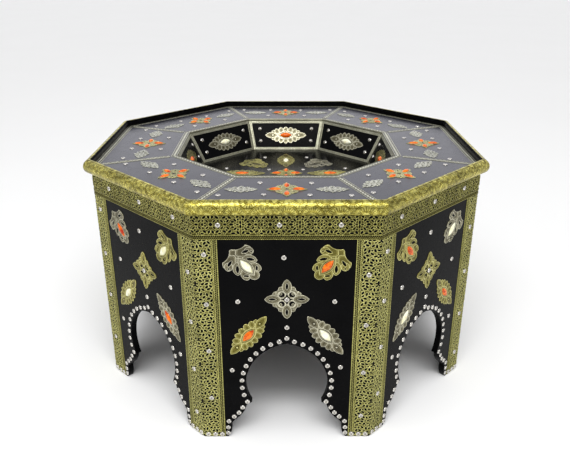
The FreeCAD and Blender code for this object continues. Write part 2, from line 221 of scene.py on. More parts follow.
def relief_sheet(x_low, x_high, y_low, y_high, cell, form, full_height):
    """A sheet whose form gives, at each point, the depth inside the metal and the height of the surface.

    Cells outside the metal are left out, and corners just outside it are drawn in to its edge.
    """
    nx = max(2, int(round((x_high - x_low) / cell)) + 1)
    ny = max(2, int(round((y_high - y_low) / cell)) + 1)
    xs, ys = np.linspace(x_low, x_high, nx), np.linspace(y_low, y_high, ny)
    x, y = np.meshgrid(xs, ys, indexing="ij")
    depth, height = form(x, y)
    step_x, step_y = xs[1] - xs[0], ys[1] - ys[0]
    slope_x, slope_y = np.gradient(depth, step_x, step_y)
    steep = np.maximum(np.hypot(slope_x, slope_y), 0.3)
    outside = depth < 0
    reach = np.clip(-depth / steep, 0, 0.9 * cell)
    px = np.where(outside, x + slope_x / steep * reach, x)
    py = np.where(outside, y + slope_y / steep * reach, y)
    px, py = np.clip(px, x_low, x_high), np.clip(py, y_low, y_high)
    pz = np.where(outside, 0.0, height)
    index = np.arange(nx * ny).reshape(nx, ny)
    cells = np.stack([index[:-1, :-1], index[1:, :-1], index[1:, 1:], index[:-1, 1:]], axis=-1).reshape(-1, 4)
    keep = depth.ravel()[cells].max(axis=1) > 0.12 * cell
    cells = cells[keep]
    used = np.unique(cells)
    renumber = np.full(nx * ny, -1)
    renumber[used] = np.arange(len(used))
    points = np.stack([px, py, pz], axis=-1).reshape(-1, 3)[used]
    return Solid(points, renumber[cells], np.clip(points[:, 2] / full_height, 0, 1))


def bent(solid, mapping):
    """The solid with each point (x, y, height) carried by a mapping."""
    x, y, z = mapping(solid.points[:, 0], solid.points[:, 1], solid.points[:, 2])
    return Solid(np.stack([x, y, z], axis=1), solid.faces, solid.relief)


# Materials

def material(name, base, metallic=0.0, roughness=0.4, specular=0.5):
    m = bpy.data.materials.new(name)
    m.use_nodes = True
    shader = m.node_tree.nodes["Principled BSDF"]
    shader.inputs["Base Color"].default_value = (*base, 1)
    shader.inputs["Metallic"].default_value = metallic
    shader.inputs["Roughness"].default_value = roughness
    shader.inputs["Specular IOR Level"].default_value = specular
    return m, m.node_tree, shader


def add(tree, kind, **settings):
    node = tree.nodes.new(kind)
    for key, value in settings.items():
        if key in node.inputs:
            node.inputs[key].default_value = value
        else:
            setattr(node, key, value)
    return node


def noise(tree, scale, detail=3.0, rough=0.6):
    """Noise in the table's own space."""
    where = tree.nodes.new("ShaderNodeTexCoord")
    node = add(tree, "ShaderNodeTexNoise", Scale=scale, Detail=detail, Roughness=rough)
    tree.links.new(where.outputs["Object"], node.inputs["Vector"])
    return node.outputs["Fac"]


def ramp(tree, source, stops):
    """A colour ramp from (position, colour) stops."""
    node = tree.nodes.new("ShaderNodeValToRGB")
    elements = node.color_ramp.elements
    while len(elements) < len(stops):
        elements.new(0.5)
    for element, (position, colour) in zip(elements, stops):
        element.position = position
        element.color = (*colour, 1)
    tree.links.new(source, node.inputs["Fac"])
    return node.outputs["Color"]


def multiplied(tree, a, b):
    node = tree.nodes.new("ShaderNodeMix")
    node.data_type = "RGBA"
    node.blend_type = "MULTIPLY"
    node.inputs[0].default_value = 1.0
    tree.links.new(a, node.inputs[6])
    tree.links.new(b, node.inputs[7])
    return node.outputs[2]


def spread(tree, source, low, high):
    """A 0 to 1 value stretched to low to high."""
    node = add(tree, "ShaderNodeMapRange")
    node.inputs["To Min"].default_value = low
    node.inputs["To Max"].default_value = high
    tree.links.new(source, node.inputs["Value"])
    return node.outputs["Result"]


def bump(tree, shader, source, strength, distance):
    node = add(tree, "ShaderNodeBump", Strength=strength, Distance=distance)
    tree.links.new(source, node.inputs["Height"])
    tree.links.new(node.outputs["Normal"], shader.inputs["Normal"])


def lacquer(name, base, sheen, specular, roughness):
    """Black lacquer over a fine grain, with faint rubbing and dust."""
    m, tree, shader = material(name, base, 0.0, roughness, specular)
    cloud = noise(tree, 14, 5)
    colour = ramp(tree, cloud, [(0.35, base), (0.75, sheen)])
    tree.links.new(colour, shader.inputs["Base Color"])
    fine = noise(tree, 420, 3, 0.7)
    rough = spread(tree, noise(tree, 60, 4), roughness * 0.75, roughness * 1.35)
    tree.links.new(rough, shader.inputs["Roughness"])
    bump(tree, shader, fine, 0.12, 0.0004)
    return m


def metal(name, deep, middle, bright, roughness, worn=0.35, speckle=0.3, grain=0.25, fleck_scale=380.0):
    """Plated or sheet metal: dark patina in the hollows, bright on the tops of the relief."""
    m, tree, shader = material(name, middle, 1.0, roughness, 0.5)
    relief = add(tree, "ShaderNodeAttribute", attribute_name="relief").outputs["Fac"]
    colour = ramp(tree, relief, [(0.05, deep), (0.55, middle), (0.97, bright)])
    stain = ramp(tree, noise(tree, 22.0, 5), [(0.3, (1.0 - worn,) * 3), (0.7, (1.0, 1.0, 1.0))])
    fleck = ramp(tree, noise(tree, fleck_scale, 2), [(0.38, (1.0 - speckle,) * 3), (0.62, (1.0, 1.0, 1.0))])
    colour = multiplied(tree, multiplied(tree, colour, stain), fleck)
    tree.links.new(colour, shader.inputs["Base Color"])
    rough = spread(tree, noise(tree, 160, 4), roughness * 0.7, roughness * 1.4)
    tree.links.new(rough, shader.inputs["Roughness"])
    bump(tree, shader, noise(tree, 900, 2), grain, 0.0003)
    return m


def cabochon(name, dark, light, roughness):
    """A polished stone with cloudy bands under a clear surface."""
    m, tree, shader = material(name, light, 0.0, roughness, 0.36)
    colour = ramp(tree, noise(tree, 130, 4), [(0.34, dark), (0.58, light)])
    tree.links.new(colour, shader.inputs["Base Color"])
    shader.inputs["Subsurface Weight"].default_value = 0.05
    shader.inputs["Subsurface Scale"].default_value = 0.002
    return m


BOARD = lacquer("black_lacquer", (0.0012, 0.0012, 0.0014), (0.0030, 0.0030, 0.0034),
                specular=0.04, roughness=0.26)
# The blue in the top lacquer's colours is a painted reflection tint.
TOP = lacquer("black_top_lacquer", (0.004, 0.004, 0.010), (0.010, 0.010, 0.020),
              specular=0.42, roughness=0.24)
FLOOR_LACQUER = lacquer("black_floor_lacquer", (0.002, 0.002, 0.002), (0.005, 0.005, 0.003),
                        specular=0.2, roughness=0.22)
BRASS = metal("pierced_brass", (0.016, 0.013, 0.003), (0.46, 0.43, 0.12), (1.0, 0.98, 0.40),
              roughness=0.34, speckle=0.40)
# The frieze takes a darker copy of the trims' brass: painted shade from the rim above it.
SHADED_FRIEZE_BRASS = metal("frieze_brass_painted_shade", (0.012, 0.010, 0.003), (0.20, 0.18, 0.045), (0.86, 0.82, 0.27),
                   roughness=0.34, speckle=0.45)
RIM = metal("rim_brass", (0.06, 0.038, 0.002), (0.44, 0.35, 0.025), (0.98, 0.90, 0.25),
            roughness=0.36, worn=0.50, speckle=0.62, fleck_scale=200.0)
PALE = metal("pale_brass", (0.016, 0.015, 0.008), (0.34, 0.33, 0.22), (0.98, 0.97, 0.76), roughness=0.30)
NICKEL = metal("nickel_silver", (0.045, 0.038, 0.020), (0.29, 0.265, 0.165), (0.98, 0.95, 0.74),
               roughness=0.27, speckle=0.2)
GILT = metal("gilt_brass", (0.05, 0.04, 0.008), (0.36, 0.32, 0.080), (1.0, 0.95, 0.42),
             roughness=0.28, speckle=0.2)
NAIL = metal("nail_nickel", (0.10, 0.095, 0.085), (0.42, 0.40, 0.36), (0.86, 0.83, 0.77),
             roughness=0.24, worn=0.2, speckle=0.1, grain=0.04)
# Lighter copies of the nickel and gilt for the plates on the top: painted light on the faces turned up.
LIT_TOP_NICKEL = metal("silver_lace", (0.03, 0.03, 0.022), (0.62, 0.62, 0.50), (1.0, 1.0, 0.86),
               roughness=0.26, speckle=0.2)
LIT_TOP_GILT = metal("gilt_lace", (0.035, 0.03, 0.008), (0.60, 0.56, 0.24), (1.0, 0.97, 0.56),
                 roughness=0.26, speckle=0.2)
AMBER = cabochon("orange_stone", (0.42, 0.018, 0.0), (0.96, 0.20, 0.003), roughness=0.15)
BONE = cabochon("bone_stone", (0.80, 0.77, 0.46), (0.96, 0.95, 0.76), roughness=0.18)


def bare_wood():
    m, tree, shader = material("bare_wood", (0.16, 0.10, 0.05), 0.0, 0.7, 0.3)
    where = tree.nodes.new("ShaderNodeTexCoord")
    stretch = add(tree, "ShaderNodeMapping")
    stretch.inputs["Scale"].default_value = (1.0, 1.0, 0.12)
    tree.links.new(where.outputs["Object"], stretch.inputs["Vector"])
    grain = add(tree, "ShaderNodeTexNoise", Scale=90.0, Detail=6.0)
    tree.links.new(stretch.outputs["Vector"], grain.inputs["Vector"])
    colour = ramp(tree, grain.outputs["Fac"], [(0.35, (0.10, 0.06, 0.03)), (0.65, (0.22, 0.14, 0.07))])
    tree.links.new(colour, shader.inputs["Base Color"])
    bump(tree, shader, grain.outputs["Fac"], 0.3, 0.0005)
    return m


WOOD = bare_wood()


def paint_nodes():
    """Materials for the CAD nodes that stay."""
    finish = {"side_panel": BOARD, "well_wall": BOARD, "well_floor": FLOOR_LACQUER, "top_panel": TOP}
    for name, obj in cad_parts.items():
        chosen = next((m for prefix, m in finish.items() if name.startswith(prefix)), WOOD)
        if not obj.material_slots:
            obj.data.materials.append(chosen)
        for slot in obj.material_slots:
            slot.material = chosen


# Pierced brass on the corners and the frieze

SHEET = 1.0
CELL = 0.5
LINE = 1.05
FRIEZE_UNIT = 94.6
FRIEZE_PHASE = 20.6
FRIEZE_BORDER = 8.5
FRIEZE_MARGIN = 1.2
FRIEZE_SEED = 11
TRIM_BORDER = 9.0
TRIM_REPEATS = 5
TRIM_SEED = 23
BORDER_UNIT = 3.4
FOLD_RADIUS = 5.0
LEAF_SIZES = ((7.2, 3.8, 1400), (5.4, 3.3, 1600), (3.8, 2.8, 2200), (2.4, 2.2, 1000))


def circles_in(hole):
    """Five circles that stand for a leaf while holes are being kept apart."""
    x, y, degrees, length, width = hole
    c, s = math.cos(math.radians(degrees)), math.sin(math.radians(degrees))
    along = np.array([-0.5, -0.25, 0.0, 0.25, 0.5]) * length
    return np.stack([x + along * c, y + along * s, np.array([0.08, 0.38, 0.5, 0.38, 0.08]) * width], axis=1)


def packed(wide, high, fixed, flow, seed, repeats):
    """Leaves fitted between fixed ones in the part of the pattern that is mirrored or repeated."""
    rng = np.random.default_rng(seed)
    holes = list(fixed)
    taken = np.concatenate([circles_in(hole) for hole in fixed])
    for length, width, tries in LEAF_SIZES:
        for _ in range(tries):
            x, y = rng.uniform(0, wide), rng.uniform(0, high)
            hole = (x, y, flow(x, y) + rng.normal(0, 12), length, width)
            own = circles_in(hole)
            low, top = own[:, :2] - own[:, 2:], own[:, :2] + own[:, 2:]
            if low[:, 0].min() < LINE / 2 or top[:, 0].max() > wide - LINE / 2:
                continue
            if not repeats and (low[:, 1].min() < LINE / 2 or top[:, 1].max() > high - LINE / 2):
                continue
            dx = own[:, None, 0] - taken[None, :, 0]
            dy = own[:, None, 1] - taken[None, :, 1]
            if repeats:
                dy = (dy + high / 2) % high - high / 2
            if (np.hypot(dx, dy) - own[:, None, 2] - taken[None, :, 2]).min() >= LINE:
                holes.append(hole)
                taken = np.concatenate([taken, own])
    return holes


def border(along, across, width):
    """Depth and height of a narrow border: two rows of tiny slanting leaves between fine ridges."""
    half = BORDER_UNIT / 2
    depth = np.full(along.shape, 2.0)
    for row, (share, tilt) in enumerate(((0.34, 38), (0.68, -38))):
        u = (along + half * row + half) % BORDER_UNIT - half
        depth = np.minimum(depth, leaf(*moved(u, across - share * width, 0, 0, tilt), BORDER_UNIT, 2.0))
    lines = ridge(across - 0.7, 0.4) + ridge(width - 0.7 - across, 0.4)
    dashes = 0.5 + 0.5 * np.cos(2 * math.pi * along / BORDER_UNIT)
    ground = 0.26 * rounded(depth, 0.5) + 0.55 * ridge(depth - 0.5, 0.4)
    return depth, np.clip(ground + lines * (0.15 + 0.6 * dashes), 0, 1)


def pierced_height(depth):
    """A fine raised line round every hole and a lower ground between."""
    return rounded(depth, 0.35) * (0.30 + 0.70 * ridge(depth - 0.6, 0.5))


def frieze_form():
    """Crosses and bursts by turns along the middle line, with slanting leaves between them."""
    high = BAND_HIGH - BAND_LOW - FRIEZE_MARGIN
    mid, half = (FRIEZE_BORDER + high) / 2, (high - FRIEZE_BORDER) / 2
    far = FRIEZE_UNIT / 2
    fixed = [(0, 3.6, 90, 7.2, 3.2), (4.6, 0, 0, 4.6, 2.6), (14.6, 0, 0, 7.0, 4.4), (24.4, 0, 0, 5.6, 3.8),
             (34.1, 0, 90, 5.4, 3.6), (far, 0, 0, 6.6, 4.6), (far, 0, 90, 6.6, 4.6),
             (far - 5.6, 5.6, 135, 6.4, 2.8), (8.5, 7.5, 48, 7.4, 3.0), (20.0, 6.0, 132, 7.0, 3.0),
             (29.5, 5.6, 48, 6.6, 2.9)]

    def flow(x, y):
        return 45 + 90 * (int((x + 0.7 * y) / 9.2) % 2) + 22 * math.sin(y / 3.5)

    holes = packed(far, half, fixed, flow, FRIEZE_SEED, False)

    def form(x, y):
        fx = folded(x - FRIEZE_PHASE, FRIEZE_UNIT)
        fy = np.abs(y - mid)
        in_border = y < FRIEZE_BORDER
        depth = np.where(fy > half, 2.0, leaves(fx, fy, holes))
        edge_depth, edge_height = border(x, y, FRIEZE_BORDER)
        height = np.where(in_border, edge_height, pierced_height(depth))
        return np.where(in_border, edge_depth, depth), SHEET * height
    return form


def make_frieze():
    """The pierced band on every face."""
    length = SKIN_R * TAN_HALF
    sheet = relief_sheet(-length, length, 0, BAND_HIGH - BAND_LOW, CELL, frieze_form(), SHEET)
    for k in range(SIDES):
        name = "frieze_band_%d" % (k + 1)
        # The darker brass on the frieze is painted shade from the rim.
        piece("pierced_" + name, sheet.laid(side_axes(k), 0, BAND_LOW), SHADED_FRIEZE_BRASS, [name])


def trim_form():
    """Crosses, chevrons, crescents and stars up the fold, with leaves scattered to both sides alike."""
    period = (TRIM_HIGH - TRIM_LOW) / TRIM_REPEATS
    inner = TRIM_HALF - TRIM_BORDER
    fixed = [(0, 0, 90, 7.6, 3.4), (3.4, 0, 0, 5.0, 2.8), (2.6, 9.4, 38, 6.8, 3.0), (0, 16.6, 0, 5.6, 4.6),
             (0, 24.0, 90, 6.0, 3.0), (3.0, 28.4, 0, 6.0, 2.6), (2.6, 35.4, -38, 6.8, 3.0),
             (0, 42.4, 90, 5.6, 4.0), (0, 50.6, 90, 8.0, 3.2), (3.2, 53.4, 35, 5.2, 2.4),
             (3.2, 47.8, -35, 5.2, 2.4), (2.8, 60.4, 22, 6.8, 3.0), (0, 67.0, 0, 5.6, 4.4),
             (2.6, 74.6, -38, 6.8, 3.0), (0, 81.4, 90, 6.6, 3.6)]

    def flow(x, y):
        return 45 + 90 * (int((y + 0.8 * x) / 10.5) % 2) + 25 * math.sin(x / 4.0)

    holes = packed(inner, period, fixed, flow, TRIM_SEED, True)
    holes += [(x, y + period, a, length, width) for x, y, a, length, width in holes if y < 5] + \
             [(x, y - period, a, length, width) for x, y, a, length, width in holes if y > period - 5]

    def form(x, y):
        ax = np.abs(x)
        in_border = ax > inner
        depth = leaves(ax, y % period, holes)
        edge_depth, edge_height = border(y, ax - inner, TRIM_BORDER)
        height = np.where(in_border, edge_height, pierced_height(depth))
        return np.where(in_border, edge_depth, depth), SHEET * height
    return form


def fold_round_corner(x, y, z):
    """Carries a flat strip, x from its middle line, round the upright corner between faces 0 and 1."""
    half_turn = math.pi / SIDES
    bend = FOLD_RADIUS * half_turn
    inset = FOLD_RADIUS / math.cos(half_turn)
    corner = np.array([0.0, -BODY_R / math.cos(half_turn)])
    centre = corner + np.array([0.0, inset])
    angle = np.clip(x, -bend, bend) / FOLD_RADIUS
    beyond = x - np.clip(x, -bend, bend)
    radius = FOLD_RADIUS + z
    px = centre[0] + radius * np.sin(angle) + beyond * np.cos(angle)
    py = centre[1] - radius * np.cos(angle) + beyond * np.sin(angle)
    c, s = math.cos(half_turn), math.sin(half_turn)
    return px * c - py * s, px * s + py * c, y + TRIM_LOW


def turned(solid, k):
    a = 2 * math.pi / SIDES * k
    c, s = math.cos(a), math.sin(a)
    p = solid.points
    points = np.stack([p[:, 0] * c - p[:, 1] * s, p[:, 0] * s + p[:, 1] * c, p[:, 2]], axis=1)
    return Solid(points, solid.faces, solid.relief)


def make_trims():
    """The folded pierced sheet on every corner."""
    sheet = relief_sheet(-TRIM_HALF, TRIM_HALF, 0, TRIM_HIGH - TRIM_LOW, CELL, trim_form(), SHEET)
    folded_sheet = bent(sheet, fold_round_corner)
    for k in range(SIDES):
        name = "corner_trim_%d" % (k + 1)
        piece("pierced_" + name, turned(folded_sheet, k), BRASS, [name])


# Engraved rim

GROOVE = 0.14
RIM_CELL = 0.6
RIM_UNIT = 41.0
RIM_FOOT = 375.5
BULGE_Z = 452.0


def circle_through(a, b, c):
    """Centre and radius of the circle through three points."""
    (ax, ay), (bx, by), (cx, cy) = a, b, c
    d = 2 * (ax * (by - cy) + bx * (cy - ay) + cx * (ay - by))
    aa, bb, cc = ax ** 2 + ay ** 2, bx ** 2 + by ** 2, cx ** 2 + cy ** 2
    ux = (aa * (by - cy) + bb * (cy - ay) + cc * (ay - by)) / d
    uy = (aa * (cx - bx) + bb * (ax - cx) + cc * (bx - ax)) / d
    return ux, uy, math.hypot(ax - ux, ay - uy)


RIM_CX, RIM_CZ, RIM_BEND = circle_through((RIM_FOOT, RIM_LOW), (RIM_R, BULGE_Z), (LIP_OUT, HEIGHT))
RIM_START = math.atan2(RIM_LOW - RIM_CZ, RIM_FOOT - RIM_CX)
RIM_END = math.atan2(HEIGHT - RIM_CZ, LIP_OUT - RIM_CX)
RIM_FLAT = RIM_FOOT - LIP_OUT
RIM_ARC = RIM_BEND * (RIM_END - RIM_START)
TURN_OVER = 3.2


def rim_form(x, y):
    """Double arcs with fine rays between them, cut as if by hand; y runs up the bulge."""
    v = y - RIM_FLAT
    mid, half = RIM_ARC * 0.50, RIM_ARC * 0.42
    swing = x + 1.6 * np.sin(x / 27.0) + 0.9 * np.sin(x / 9.3 + v / 6.0)
    fx = folded(swing, RIM_UNIT)
    far = RIM_UNIT / 2
    up = v - mid
    cuts = []
    for cx, cy, radii, rays in ((0.0, -half - 1.0, (7.0, 9.2, 17.5, 19.6), (9.2, 17.5, 15.0)),
                                (far, half + 2.0, (5.5, 7.6, 14.5), (7.6, 14.5, 18.0))):
        px, py = fx - cx, up - cy
        r = np.hypot(px, py)
        cuts += [np.abs(r - radius) for radius in radii]
        inner, outer, step = rays
        spread_out = folded(np.degrees(np.arctan2(px, py)) + step / 2, step) * math.pi / 180 * r
        cuts.append(np.where((r > inner + 0.6) & (r < outer - 1.4), spread_out, 9.0))
    ring = np.hypot(fx - far, up + half * 0.45)
    cuts.append(np.abs(ring - 2.4))
    groove = np.min(np.stack(cuts), axis=0)
    press = 0.75 + 0.25 * np.sin(x / 13.0) * np.sin(v / 5.0 + x / 31.0)
    edges = np.minimum(np.abs(up + half + 1.2), np.abs(up - half - 1.2))
    depth = press * ridge(groove, 0.52) + 0.6 * ridge(edges, 0.45)
    depth = np.where(v < 0.6, 0.0, depth)
    return np.full(x.shape, 1.0), GROOVE * (1.0 - np.clip(depth, 0, 1))


def onto_bullnose(x, y, z):
    """x lies along the face; y runs out under the rim, up round the bulge and in over the lip's edge."""
    angle = RIM_START + np.clip(y - RIM_FLAT, 0, RIM_ARC) / RIM_BEND
    reach = RIM_BEND - GROOVE + z
    under, over = y < RIM_FLAT, np.clip(y - RIM_FLAT - RIM_ARC, 0, None)
    r = np.where(under, LIP_OUT + y, RIM_CX + reach * np.cos(angle) - over)
    height = np.where(under, RIM_LOW + GROOVE - z, RIM_CZ + reach * np.sin(angle))
    height = np.minimum(height, HEIGHT)
    return x / RIM_R * r, -r, height


def make_rim():
    """The engraved bullnose on every face."""
    length = RIM_R * TAN_HALF
    sheet = relief_sheet(-length, length, 0, RIM_FLAT + RIM_ARC + TURN_OVER, RIM_CELL, rim_form, GROOVE)
    sheet = bent(sheet, onto_bullnose)
    for k in range(SIDES):
        name = "rim_cladding_%d" % (k + 1)
        piece("engraved_" + name, turned(sheet, k), RIM, [name])


LIP_STEP = (3.0, 4.0)
ARRIS = 0.4


def make_lip():
    """The black stepped lip inside the rim; the brass turns over its outer edge."""
    top, outer = HEIGHT - 0.5, LIP_OUT - 0.3
    step, ledge = LIP_IN + LIP_STEP[0], HEIGHT - LIP_STEP[1]
    profile = [(LIP_IN, TOP_Z), (LIP_IN, ledge - ARRIS), (LIP_IN + ARRIS, ledge), (step, ledge),
               (step, top - ARRIS), (step + ARRIS, top), (outer, top), (outer, TOP_Z)]
    n = len(profile)
    points, faces = [], []
    for k in range(SIDES):
        a = turn(k) + math.pi / SIDES
        for r, z in profile:
            reach = r / math.cos(math.pi / SIDES)
            points.append((reach * math.cos(a), reach * math.sin(a), z))
        for i in range(n):
            j, m = (i + 1) % n, (k + 1) % SIDES
            faces.append((k * n + i, k * n + j, m * n + j, m * n + i))
    piece("stepped_lip", Solid(points, faces), BOARD, ["rim_lip"], smooth=False)


# Stamped strips on the top and in the well

STRIP_HIGH = 0.55
STRIP_CELLS = (0.7, 0.6)


def strip_height(v, x, width):
    """A raised line on both edges and slanting stamped leaves between them; v runs across from 0 to 1."""
    across = (v - 0.5) * width
    size = width / 12.0
    unit = 8.2 * size
    u = (x + unit / 2) % unit - unit / 2
    d = leaf(*moved(u, across, 0, 0, 46), 8.2 * size, 3.6 * size)
    for at in (-unit / 2, unit / 2):
        d = np.minimum(d, leaf(*moved(u, across, at, 0, -46), 8.2 * size, 3.6 * size))
    leafy = np.clip(-d / 0.6, 0, 1)
    edge = ridge(np.abs(across) - (width / 2 - 0.9), 0.7)
    ends = np.clip(np.minimum(v, 1 - v) * width / 0.5, 0, 1)
    return STRIP_HIGH * np.clip(np.maximum(np.maximum(edge, leafy), 0.10), 0, 1) * ends


def strip(a, b, c, d):
    """A strip between edge a-b and edge d-c, all in the flat; mitred ends follow from the corners."""
    a, b, c, d = (np.array(p, float) for p in (a, b, c, d))
    length = max(np.hypot(*(b - a)), np.hypot(*(c - d)))
    width = abs(np.cross((b - a) / np.hypot(*(b - a)), d - a))
    nu, nv = int(length / STRIP_CELLS[0]) + 2, int(width / STRIP_CELLS[1]) + 2
    u, v = np.meshgrid(np.linspace(0, 1, nu), np.linspace(0, 1, nv), indexing="ij")
    low = a + (b - a) * u[..., None]
    high = d + (c - d) * u[..., None]
    at = low * (1 - v[..., None]) + high * v[..., None]
    z = strip_height(v, u * length, width)
    index = np.arange(nu * nv).reshape(nu, nv)
    faces = np.stack([index[:-1, :-1], index[1:, :-1], index[1:, 1:], index[:-1, 1:]], axis=-1).reshape(-1, 4)
    points = np.concatenate([at, z[..., None]], axis=-1).reshape(-1, 3)
    return Solid(points, faces, (z / STRIP_HIGH).ravel())


RADIAL_WIDTH = 12.0
EDGE_WIDTH = 11.5


def make_top_strips():
    """The strips along the lip, round the well and between the panels, as three pieces of fewer faces."""
    outer_in, well_out = LIP_IN - EDGE_WIDTH, WELL_R + RADIAL_WIDTH
    parts = {"lip_edge": [], "well_edge": [], "spoke": []}
    for k in range(SIDES):
        place = top_axes(k)
        for edge, inner, outer in (("lip_edge", outer_in, LIP_IN), ("well_edge", WELL_R, well_out)):
            half_in, half_out = inner * TAN_HALF, outer * TAN_HALF
            flat = strip((-half_out, -outer), (half_out, -outer), (half_in, -inner), (-half_in, -inner))
            parts[edge].append(flat.laid(place))
        reach_in = well_out / math.cos(math.pi / SIDES)
        reach_out = outer_in / math.cos(math.pi / SIDES)
        w = RADIAL_WIDTH / 2
        back = w * TAN_HALF
        near, far = reach_in + back, reach_out - back
        spoke = strip((-w, -far), (-w, -near), (w, -near), (w, -far))
        parts["spoke"].append(turned(spoke.laid(top_axes(0)), k + 0.5))
    for name, strips in parts.items():
        piece("stamped_%s_strips" % name, joined(strips), PALE, ["tabletop_strips"])


WALL_STRIP = 6.0
EDGE_RISE = 0.8


def make_well_strips():
    """Four strips round every sloping wall, and one on the upright edge above it."""
    parts = []
    foot, head = WALL_FOOT_R * TAN_HALF, WELL_R * TAN_HALF
    lean = (head - foot) / WALL_SLOPE
    w = WALL_STRIP
    for k in range(SIDES):
        place = wall_axes(k)
        inner_foot, inner_head = foot + lean * w - w, head - lean * w - w
        top = WALL_SLOPE
        outside = [(-foot, 0), (foot, 0), (head, top), (-head, top)]
        inside = [(-inner_foot, w), (inner_foot, w), (inner_head, top - w), (-inner_head, top - w)]
        for i, j in ((0, 1), (2, 3), (1, 2), (3, 0)):
            parts.append(strip(outside[i], outside[j], inside[j], inside[i]).laid(place))
        a = turn(k)
        n = np.array((math.cos(a), math.sin(a), 0))
        upright = axes(n * WELL_R + np.array((0, 0, WALL_TOP_Z)), (math.sin(a), -math.cos(a), 0), (0, 0, 1), -n)
        rise = TOP_Z - WALL_TOP_Z + EDGE_RISE
        parts.append(strip((-head, 0), (head, 0), (head, rise), (-head, rise)).laid(upright))
    piece("stamped_well_strips", joined(parts), PALE, ["well_strips"])


# Medallions

PLATE = 1.15
STONE_SEAT = 0.35


class Medallion:
    """A stamped plate: later lobes lie over earlier ones, bites cut the outline back, and holes and
    crescent scrolls pierce it. Beads and the bezels of stones stand on it."""

    def __init__(self, lobes, holes=(), stones=(), beads=(), bites=(), scrolls=()):
        self.lobes, self.holes, self.stones, self.beads = lobes, holes, stones, beads
        self.bites, self.scrolls = bites, scrolls

    def form(self, x, y):
        outline = np.full(x.shape, 1e3)
        height = np.zeros(x.shape)
        for cx, cy, degrees, length, width in self.lobes:
            d = leaf(*moved(x, y, cx, cy, degrees), length, width)
            outline = np.minimum(outline, d)
            cup = 0.26 + 0.74 * ridge(d + 0.8, 0.65) + 0.42 * ridge(d + 3.0, 0.6)
            height = np.where(d < 0, cup, height)
        for cx, cy, radius in self.bites:
            outline = np.maximum(outline, radius - np.hypot(x - cx, y - cy))
        depth = -outline
        if self.holes:
            depth = np.minimum(depth, leaves(x, y, self.holes))
        for cx, cy, radius, ox, oy, island in self.scrolls:
            crescent = np.maximum(np.hypot(x - cx, y - cy) - radius, island - np.hypot(x - ox, y - oy))
            depth = np.minimum(depth, crescent)
        height = np.maximum(height, ridge(depth - 0.8, 0.6))
        for cx, cy, radius in self.beads:
            r = np.hypot(x - cx, y - cy)
            height = np.where(r < radius + 1.2, 0.08, height)
            height = np.maximum(height, np.sqrt(np.clip(1 - (r / radius) ** 2, 0, 1)))
        for cx, cy, degrees, length, width in self.stones:
            d = leaf(*moved(x, y, cx, cy, degrees), length, width)
            bezel = np.maximum(ridge(d - 0.8, 0.7), 0.85 * ridge(d - 2.9, 0.55))
            height = np.where(d < 3.4, np.maximum(bezel, 0.12), height)
            height = np.where(d < -0.3, 0.4, height)
        return depth, PLATE * np.clip(height, 0, 1) * rounded(depth, 0.6)

    def solid(self):
        reach_x = max(abs(cx) + length / 2 + 1 for cx, cy, a, length, width in self.lobes)
        reach_y = max(abs(cy) + length / 2 + 1 for cx, cy, a, length, width in self.lobes)
        return relief_sheet(-reach_x, reach_x, -reach_y, reach_y, CELL, self.form, PLATE)

    def stone_solids(self):
        return [domed(length, width).laid(AS_DRAWN, cx, cy, a, PLATE * STONE_SEAT)
                for cx, cy, a, length, width in self.stones]


STONE_HIGH = 3.4


def domed(length, width, rings=7, around=36):
    """A polished stone on a pointed oval."""
    points, faces = [], []
    half, across = length / 2, width / 2
    for i in range(rings):
        t = math.pi / 2 * i / (rings - 1)
        share, high = math.cos(t), math.sin(t)
        if i == rings - 1:
            points.append((0, 0, STONE_HIGH))
            break
        for j in range(around):
            a = 2 * math.pi * j / around
            along = half * math.cos(a)
            side = across * (1 - (along / half) ** 2)
            y = math.copysign(side, math.sin(a)) * share if j % (around // 2) else 0.0
            points.append((along * share, y, STONE_HIGH * high))
    top = len(points) - 1
    for i in range(rings - 2):
        for j in range(around):
            n = (j + 1) % around
            faces.append((i * around + j, i * around + n, (i + 1) * around + n, (i + 1) * around + j))
    last = (rings - 2) * around
    for j in range(around):
        faces.append((last + j, last + (j + 1) % around, top, -1))
    return Solid(points, faces)


def both(items):
    """Each lobe or hole and its mirror image across the x axis."""
    found = []
    for item in items:
        found.append(item)
        if abs(item[1]) > 0.01:
            found.append((item[0], -item[1], -item[2], *item[3:]))
    return found


def four(items):
    """Each item and its images in both axes."""
    found = []
    for item in both(items):
        found.append(item)
        if abs(item[0]) > 0.01:
            found.append((-item[0], item[1], 180 - item[2], *item[3:]))
    return found


def quarter_turns(items):
    found = []
    for cx, cy, degrees, length, width in items:
        for q in range(4):
            a = math.radians(90 * q)
            found.append((cx * math.cos(a) - cy * math.sin(a), cx * math.sin(a) + cy * math.cos(a),
                          degrees + 90 * q, length, width))
    return found


SIDE_STONE = (29.0, 12.0)
TOP_STONE = (20.0, 9.0)

OVAL_LOBES = four([(0, 0, 0, 76, 28), (28.0, 6.2, 36, 14, 11), (21.0, 9.2, 56, 15, 12),
                   (11.0, 11.8, 74, 16, 12.5), (0, 12.8, 90, 16, 12.5), (34.0, 0, 0, 31, 15),
                   (0, 0, 0, 42, 21)])
OVAL = Medallion(OVAL_LOBES, stones=[(0, 0, 0, *SIDE_STONE)], beads=[(31.0, 0, 2.2), (-31.0, 0, 2.2)])

DIAMOND = Medallion(
    quarter_turns([(9.5, 18.5, 68, 12, 11), (18.5, 9.5, 22, 12, 11), (10.0, 10.0, 45, 19, 18),
                   (23.5, 0, 0, 29, 17), (8.5, 8.5, 45, 15, 15)]),
    quarter_turns([(24.5, 0, 0, 12, 4.0)]),
    beads=[(0, 0, 4.4)],
    scrolls=[(sx * 8.6, sy * 8.6, 4.7, sx * 10.4, sy * 10.4, 3.0) for sx in (-1, 1) for sy in (-1, 1)])

